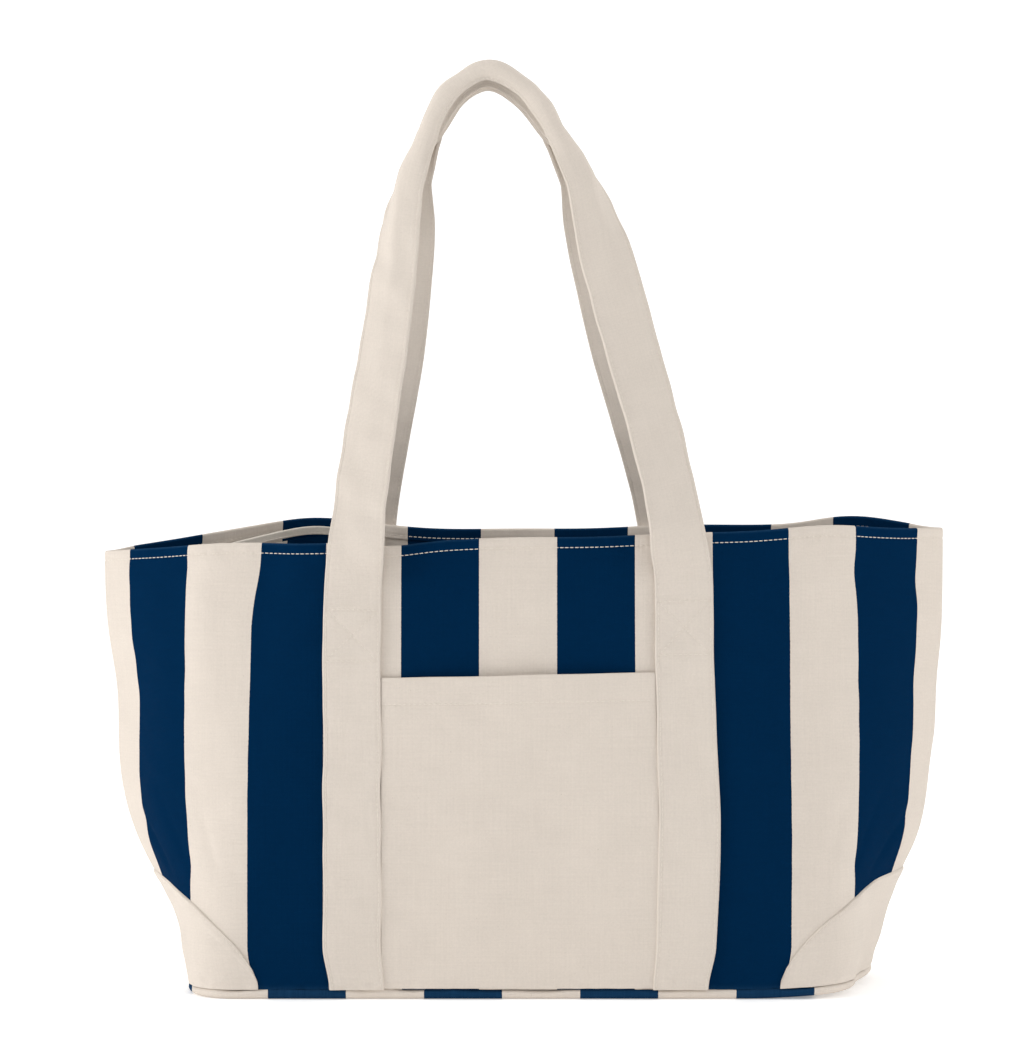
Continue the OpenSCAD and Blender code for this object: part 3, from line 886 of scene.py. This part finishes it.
def inner_pocket():
    top = HEM_V - 1.2 * MM
    low, left, right = top - INNER_H, INNER_U - INNER_W / 2, INNER_U + INNER_W / 2
    tape = 6 * MM

    def stand(u, v):
        across = 1 - ((u - INNER_U) / (INNER_W / 2)) ** 2
        return -0.35 * MM - INNER_GAPE * np.clip((v - low) / INNER_H, 0, 1) ** 1.3 * across

    def half_thick(v):
        taped = 0.45 * MM * smooth(top - tape - 0.3 * MM, top - tape + 0.2 * MM, v)
        return (PLY / 2 + taped) * rounded(v, low, top, 1 * MM)

    def outer(u, v):
        return stand(u, v) - PLY / 2 + half_thick(v)

    def inner(u, v):
        return stand(u, v) - PLY / 2 - half_thick(v)

    def place(u, v, d):
        arch = 5 * MM * np.clip((v - low) / INNER_H, 0, 1) ** 2 * (1 - ((u - INNER_U) / (INNER_W / 2)) ** 2)
        return wall(u, v + arch, d, BACK)

    us = line(left, right, 2 * MM, 1 * MM)
    made = slab(
        "inner_pocket_cloth", us, line(low, top - tape, 2 * MM, 1 * MM)[:-4], outer, inner, place,
        striped_canvas, "striped_canvas", "bag", ["inner_pocket"], phase=STRIPE_START, flip=True,
    )
    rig.sheet(made, flat=(INNER_W, INNER_H), held="stretched", rests_on=["back_wall"])
    slab(
        "inner_pocket_tape", us, line(top - tape, top, 0.8 * MM, 1 * MM)[4:], outer, inner, place,
        binding_tape, "binding_tape", "bag", ["inner_pocket"], flip=True,
    )
    path_u = line(left + 2 * MM, right - 2 * MM, PATH_STEP)
    at = top - tape * 0.72 + 0 * path_u
    on, out = seam_line(place, path_u, at, inner(path_u, at))
    thread_piece("inner_pocket_stitching", [(on, -out)], "bag", ["inner_pocket_thread"])


front_pocket()
inner_pocket()


# ---- Corner patches ----

def corner_patch(end, name, node):
    """A patch wrapped round one end of the bag, its curved edge turned under and stitched."""
    def top(w):
        fall = np.clip(np.abs(w) / PATCH_W, 0, 1) ** PATCH_POWER
        return PATCH_H * np.clip(1 - fall, 0, 1) ** (1 / PATCH_POWER)

    tip = 0.997 * PATCH_W
    ws = line(-tip, tip, 2 * MM)
    shares = np.concatenate([np.linspace(0, 0.9, 34), 1 - 0.1 * np.cos(np.linspace(0, math.pi / 2, 9))[1:]])

    def place(w, share, d):
        return end_wall(w, top(w) * share, d, end)

    def inside(w, share):
        return top(w) * (1 - share)

    def outer(w, share):
        edge = inside(w, share)
        turned = 0.25 * MM * smooth(7.5 * MM, 6.5 * MM, edge)
        groove = 0.3 * MM * bell(edge - EDGE_IN, 0.7 * MM)
        crisp = np.sqrt(np.clip(1 - (1 - np.clip(edge / (1.1 * MM), 0, 1)) ** 2, 0, 1))
        uneven = 0.15 * MM * waves(w, share * top(w), 17 * MM, 91)
        return PLY + 0.25 * MM + (0.9 * MM + turned - groove + uneven) * crisp

    made = slab(
        name, ws, shares, outer, lambda w, share: PLY + 0.2 * MM + 0 * w, place, natural_canvas,
        "natural_canvas", "bag", [node], wear=lambda w, share: smooth(WORN_W, 0, inside(w, share)),
        in_weave=lambda w, share: (w, top(w) * share), flip=end == RIGHT,
    )
    fine = np.linspace(-PATCH_W, PATCH_W, 400)
    area = top(fine).sum() * (fine[1] - fine[0])
    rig.sheet(
        made, flat=(2 * PATCH_W, PATCH_H), area=float(area), held="stretched",
        rests_on=["front_wall", "back_wall"],
    )
    path_w = line(-tip + 6 * MM, tip - 6 * MM, 0.6 * MM)
    share = 1 - EDGE_IN / np.maximum(top(path_w), 1 * MM)
    thread_piece(
        name + "_stitching", [seam_line(place, path_w, share, outer(path_w, share))], "bag",
        [node.replace("corner_patch", "patch_thread")],
    )


corner_patch(LEFT, "left_patch", "left_corner_patch")
corner_patch(RIGHT, "right_patch", "right_corner_patch")


# ---- Straps ----

EDGE_ROUND = 1.3 * MM
ACROSS = line(-STRAP_W / 2, STRAP_W / 2, 1.1 * MM, EDGE_ROUND)
STITCHED = STRAP_W / 2 - EDGE_IN
SECTION_POINTS = 191  # across a strap, to sum its turns


def strap_swell(s, along):
    """A folded strap's outer face: full between its rows of stitching, pulled in along them."""
    pull = 0.7 + 0.3 * np.cos(along * 2 * math.pi / STITCH_PITCH)
    rows = bell(np.abs(s) - STITCHED, 0.8 * MM) * 0.42 * MM * pull
    fold = 0.25 * MM * bell(np.abs(s) - (STRAP_W / 2 - 0.9 * MM), 0.8 * MM)
    return fold - rows + 0.12 * MM * waves(s, along, 18 * MM, 101)


def strap_wear(s, along):
    return smooth(WORN_W, 0, STRAP_W / 2 - np.abs(s))


def strap_edge(s):
    return rounded(s, -STRAP_W / 2, STRAP_W / 2, EDGE_ROUND)


def box_rows():
    """The stitched box and cross at the top of a leg, as rows of (s, v) from end to end."""
    top = LEG_H - EDGE_IN - 0.3 * MM
    low = top - BOX_H
    w, clear = STITCHED, 1.5 * MM
    return [
        ((-w, low), (w, low)), ((-w, top), (w, top)),
        ((-w + clear, low + clear), (w - clear, top - clear)),
        ((-w + clear, top - clear), (w - clear, low + clear)),
    ]


def row_points(row):
    (s0, v0), (s1, v1) = row
    count = int(math.hypot(s1 - s0, v1 - v0) / (1 * MM)) + 2
    t = np.linspace(0, 1, count)
    return lerp(s0, s1, t), lerp(v0, v1, t)


def from_row(s, v, row):
    """The distance of (s, v) from a row of stitching."""
    (s0, v0), (s1, v1) = row
    ds, dv = s1 - s0, v1 - v0
    t = np.clip(((s - s0) * ds + (v - v0) * dv) / (ds * ds + dv * dv), 0, 1)
    return np.hypot(s - s0 - t * ds, v - v0 - t * dv)


def sewn_strap(end, side, name, node):
    middle = end * STRAP_U
    rows = box_rows()

    def outer(s, v):
        grooves = sum(0.4 * MM * bell(from_row(s, v, row), 0.8 * MM) for row in rows)
        full = STRAP_T + strap_swell(s, v) - grooves
        return STRAP_D + STRAP_T / 2 + (full - STRAP_T / 2) * strap_edge(s)

    def inner(s, v):
        return STRAP_D + STRAP_T / 2 * (1 - strap_edge(s))

    def place(s, v, d):
        waver = 0.35 * MM * waves(v, 0 * v, 55 * MM, 111 + end + 3 * side) * smooth(LEG_H, LEG_H - 30 * MM, v)
        return wall(middle + s + waver, v, d, side)

    slab(
        name, ACROSS, line(0, LEG_H, 1.25 * MM), outer, inner, place, strap_canvas, "strap_canvas",
        "bag", [node], phase=0.4 * end * side * MM, wear=strap_wear, flip=side == BACK,
    )
    lines = [((w, 2 * MM), (w, LEG_H - EDGE_IN)) for w in (-STITCHED, STITCHED)] + rows
    paths = []
    for row in lines:
        s, v = row_points(row)
        paths.append(seam_line(place, s, v, outer(s, v)))
    thread_piece(name + "_stitching", paths, "bag", [node + "_thread"])


for side, side_name in ((FRONT, "front"), (BACK, "back")):
    for end, end_name in ((LEFT, "left"), (RIGHT, "right")):
        sewn_strap(end, side, f"{side_name}_{end_name}_leg", f"{side_name}_{end_name}_strap")


# ---- Handle loops ----

# Half of a loop's middle line: share of STRAP_U across, share of the loop's height up.
HALF_LOOP = np.array([
    (1, 0), (0.985, 0.06), (0.935, 0.18), (0.85, 0.32), (0.755, 0.45), (0.66, 0.59),
    (0.575, 0.70), (0.48, 0.785), (0.35, 0.865), (0.20, 0.925),
])
CREST = (0, 0.955)
LOOP_H = HANDLE_TOP - LEG_H - SEAM_Z
RIM_SHARE = (WALL_H + 6 * MM - LEG_H) / LOOP_H

# How a strap has turned at heights up its loop, in degrees: how far its inner half has come
# forward from flat, and how far its outer half has gone back. Past 90 the outer half has folded
# over behind. One entry for each of the heights.
HEIGHTS = (0.03, 0.16, 0.40, 0.54, 0.63, 0.70, 0.78, 0.88)
INNER_LEFT = (0, 24, 28, 28, 26, 24, 24, 30)
OUTER_LEFT = (0, 24, 36, 44, 58, 76, 104, 166)
INNER_RIGHT = (0, 26, 22, 16, 14, 14, 18, 30)
OUTER_RIGHT = (0, 26, 22, 18, 26, 62, 98, 166)
INNER_BACK = (0, 12, 8, 6, 6, 8, 16, 30)
OUTER_BACK = (0, 12, 8, 6, 10, 40, 98, 166)


def curve_through(points, per_span):
    """A smooth line through points, with the same number of steps in each span."""
    ends = np.concatenate([points[:1], points, points[-1:]])
    t = np.linspace(0, 1, per_span, endpoint=False)[:, None]
    spans = []
    for a, b, c, d in zip(ends, ends[1:], ends[2:], ends[3:]):
        square, cube = 2 * a - 5 * b + 4 * c - d, 3 * b - a - 3 * c + d
        spans.append((2 * b + (c - a) * t + square * t**2 + cube * t**3) / 2)
    return np.concatenate(spans + [points[-1:]])


def even(points, step):
    """The same line with its points at even distances, measured along X, Y and Z."""
    along = np.concatenate([[0], np.cumsum(np.linalg.norm(np.diff(points[:, :3], axis=0), axis=1))])
    at = np.linspace(0, along[-1], int(along[-1] / step) + 1)
    return np.stack([np.interp(at, along, points[:, k]) for k in range(points.shape[1])], -1), at


def soften(values, reach):
    """Values along a line, each averaged with those near it."""
    kernel = bell(np.linspace(-2, 2, 2 * reach + 1), 1)
    return np.convolve(np.pad(values, reach, "edge"), kernel / kernel.sum(), "valid")


def loop_line(side):
    """A loop's middle line, the way out of it, how its strap has turned, and its length."""
    shape = np.concatenate([HALF_LOOP * (-1, 1), [CREST], HALF_LOOP[::-1]])
    shape = curve_through(shape, 40)
    share = np.maximum(shape[:, 1], 0)
    narrow = 0.068 * bell(share - 0.48, 0.28) * (side == BACK)
    x = shape[:, 0] * (1 - narrow) * STRAP_U + HANDLE_LEAN * share**1.5
    z = SEAM_Z + LEG_H + share * LOOP_H - 2 * MM * (side == BACK) * smooth(0.6, 1, share)
    low = abs(HINGE["front_handle"].y) - GAP - STRAP_T / 2
    stand = (STRAP_W / 2 * math.sin(math.radians(24)) - 2 * MM) * (side == FRONT) + 1.6 * MM
    off = stand * smooth(0.02, RIM_SHARE, share) * smooth(0.75, 0.35, share)
    y = lerp(low, 7.6 * MM, np.clip((share - RIM_SHARE) / (1 - RIM_SHARE), 0, 1)) + off
    line_points, at = even(np.column_stack([x, side * y, z, share]), 1.5 * MM)
    middle, share = line_points[:, :3], line_points[:, 3]
    middle = np.stack([soften(middle[:, k], 5) for k in range(3)], -1)
    run = unit(np.gradient(middle, axis=0) * (1, 0, 1))
    out = np.stack([-run[:, 2], 0 * share, run[:, 0]], -1)
    right = smooth(-0.5, 0.5, (np.arange(len(at)) - np.argmax(share)) / 8)
    tables = (INNER_LEFT, INNER_RIGHT, OUTER_LEFT, OUTER_RIGHT)
    if side == BACK:
        tables = (INNER_BACK, INNER_BACK, OUTER_BACK, OUTER_BACK)
    turns = [np.radians(np.interp(share, HEIGHTS, table)) for table in tables]
    inner = soften(lerp(turns[0], turns[1], right), 10)
    outer = soften(lerp(turns[2], turns[3], right), 10)
    inner, outer = inner * smooth(0, 0.05, share), outer * smooth(0, 0.05, share)
    return middle, out, inner, outer, at


def loop_section(side):
    """A function that gives the points of a loop at (s across, row along, d out of its outer face)."""
    middle, out, inner, outer, at = loop_line(side)
    fine = np.linspace(-STRAP_W / 2, STRAP_W / 2, SECTION_POINTS)
    # Where the strap folds, its front half rounds over before it comes down.
    folding = smooth(math.radians(70), math.radians(150), outer)[:, None]
    depth = -fine[None] / (STRAP_W / 2)
    rounding = folding * (math.radians(62) * bell(depth, 0.35) - math.radians(75) * smooth(0.4, 1, depth))
    front = inner[:, None] + rounding
    tilt = lerp(front, outer[:, None], smooth(-4 * MM, 4 * MM + 7 * MM * folding, fine[None]))
    step = fine[1] - fine[0]
    go_out = np.cumsum(np.cos(tilt), axis=1) * step
    go_in = np.cumsum(np.sin(tilt), axis=1) * step
    centre = len(fine) // 2
    go_out -= go_out[:, centre:centre + 1]
    go_in -= go_in[:, centre:centre + 1]
    crease = -(go_out.max(axis=1) + go_out.min(axis=1)) / 2
    towards = np.array([0, -side, 0])
    last = len(middle) - 1
    leg_u = np.where(np.arange(len(at)) < len(at) / 2, -STRAP_U, STRAP_U)

    def at_row(r, s, d):
        column = (s - fine[0]) / step
        col = np.clip(np.floor(column).astype(int), 0, len(fine) - 2)
        part = column - col
        o = lerp(go_out[r, col], go_out[r, col + 1], part)
        i = lerp(go_in[r, col], go_in[r, col + 1], part)
        angle = lerp(tilt[r, col], tilt[r, col + 1], part)
        o = o + crease[r] + d * np.sin(angle)
        i = i - d * np.cos(angle)
        return middle[r] + out[r] * o[..., None] + towards * i[..., None]

    def place(s, row, d):
        s, row, d = np.broadcast_arrays(s, np.clip(row, 0, last), d)
        low = np.floor(row).astype(int)
        high = np.minimum(low + 1, last)
        t = (row - low)[..., None]
        free = settle(lerp(at_row(low, s, d), at_row(high, s, d), t))
        # Near its ends the loop still lies on the wall, in line with the strap below it.
        along = np.minimum(row, last - row) * (at[1] - at[0])
        u = leg_u[low]
        sewn = wall(u + np.sign(u) * s, LEG_H + along, STRAP_D + STRAP_T / 2 + d, side)
        return lerp(sewn, free, smooth(0, SEWN_REACH, along)[..., None])

    return place, at


def handle_loop(side, name, body, node):
    place, at = loop_section(side)
    rows = np.arange(len(at)).astype(float)
    per_row = at[1] - at[0]

    def swell(s, row):
        return (STRAP_T / 2 + strap_swell(s, row * per_row)) * strap_edge(s)

    def soft(s, row):
        near = smooth(0, 16, row) * smooth(0, 16, len(at) - 1 - row)
        return near * 0.5 * MM * waves(s, row * per_row, 34 * MM, 121 + side)

    def outer(s, row):
        return soft(s, row) + swell(s, row)

    def inner(s, row):
        return soft(s, row) - swell(s, row)

    hinge = HINGE[body]
    blend_at = ((0, hinge.y, hinge.z), (0, hinge.y, hinge.z + 30 * MM))
    slab(
        name, ACROSS, rows, outer, inner, place, strap_canvas, "strap_canvas", body, [node],
        wear=strap_wear, in_weave=lambda s, row: (s, row * per_row), flip=side == FRONT,
        blend_at=blend_at,
    )
    paths = []
    path_rows = np.arange(3, len(at) - 3).astype(float)
    for s_at in (-STITCHED, STITCHED):
        s = s_at + 0 * path_rows
        for face, way in ((outer, 1), (inner, -1)):
            on, out_way = seam_line(place, s, path_rows, face(s, path_rows))
            paths.append((on, way * out_way))
    thread_piece(name + "_stitching", paths, body, [node.replace("loop", "thread")], blend_at=blend_at)


handle_loop(FRONT, "front_handle_strap", "front_handle", "front_handle_loop")
handle_loop(BACK, "back_handle_strap", "back_handle", "back_handle_loop")


# ---- Studio ----

def sweep():
    """A pale floor that curves up into a backdrop."""
    turn = np.linspace(0, math.pi / 2, 24)
    profile = [(-4.5, 0.0), (0.0, 0.0), (2.6, 0.0)]
    profile += [(2.6 + 1.4 * math.sin(a), 1.4 - 1.4 * math.cos(a)) for a in turn[1:]]
    profile += [(4.0, 5.0)]
    xs = np.linspace(-5, 5, 9)
    points = np.array([[(x, y, z) for y, z in profile] for x in xs])
    mesh = bpy.data.meshes.new("sweep")
    rows, cols = points.shape[:2]
    grid = np.arange(rows * cols).reshape(rows, cols)
    faces = np.stack([grid[:-1, :-1], grid[1:, :-1], grid[1:, 1:], grid[:-1, 1:]], -1).reshape(-1, 4)
    mesh.from_pydata(points.reshape(-1, 3).tolist(), [], faces.tolist())
    mesh.shade_smooth()
    mesh.materials.append(studio_white())
    obj = bpy.data.objects.new("sweep", mesh)
    bpy.context.scene.collection.objects.link(obj)
    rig.stage(obj)


def soft_light(name, place, aim, size, power):
    light = bpy.data.lights.new(name, "AREA")
    light.shape, light.size, light.energy = "DISK", size, power
    obj = bpy.data.objects.new(name, light)
    obj.location = place
    obj.rotation_euler = (Vector(aim) - Vector(place)).to_track_quat("-Z", "Y").to_euler()
    bpy.context.scene.collection.objects.link(obj)


def studio():
    world = bpy.data.worlds.new("studio")
    world.use_nodes = True
    world.node_tree.nodes["Background"].inputs[0].default_value = (1, 1, 1, 1)
    world.node_tree.nodes["Background"].inputs[1].default_value = 0.60
    bpy.context.scene.world = world
    bpy.context.scene.view_settings.view_transform = "Standard"
    sweep()
    soft_light("key_left", (-2.8, -0.9, 1.2), (0, 0, 0.3), 1.6, 50)
    soft_light("fill_right", (2.8, -0.9, 1.2), (0, 0, 0.3), 1.8, 30)
    soft_light("top", (0, 0.3, 2.6), (0, 0, 0.2), 1.8, 12)


CAMERA_DISTANCE = 2.6
CAMERA_RISE = math.radians(2.1)
FRAME_HEIGHT = 0.7137  # what the frame's long side takes in, at the bag's middle
AIM = Vector((-4.6 * MM, 0, 301.6 * MM))


def camera():
    data = bpy.data.cameras.new("camera")
    data.lens = data.sensor_width * CAMERA_DISTANCE / FRAME_HEIGHT
    obj = bpy.data.objects.new("camera", data)
    away = Vector((0, -math.cos(CAMERA_RISE), math.sin(CAMERA_RISE)))
    obj.location = AIM + away * CAMERA_DISTANCE
    obj.rotation_euler = (-away).to_track_quat("-Z", "Y").to_euler()
    bpy.context.scene.collection.objects.link(obj)
    bpy.context.scene.camera = obj


studio()
camera()

seen_low, seen_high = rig.bounds()
with open("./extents.json", "w") as sizes:
    boxes = {"cad": [list(corner) for corner in CAD_BOX], "visual": [list(seen_low), list(seen_high)]}
    json.dump(boxes, sizes)
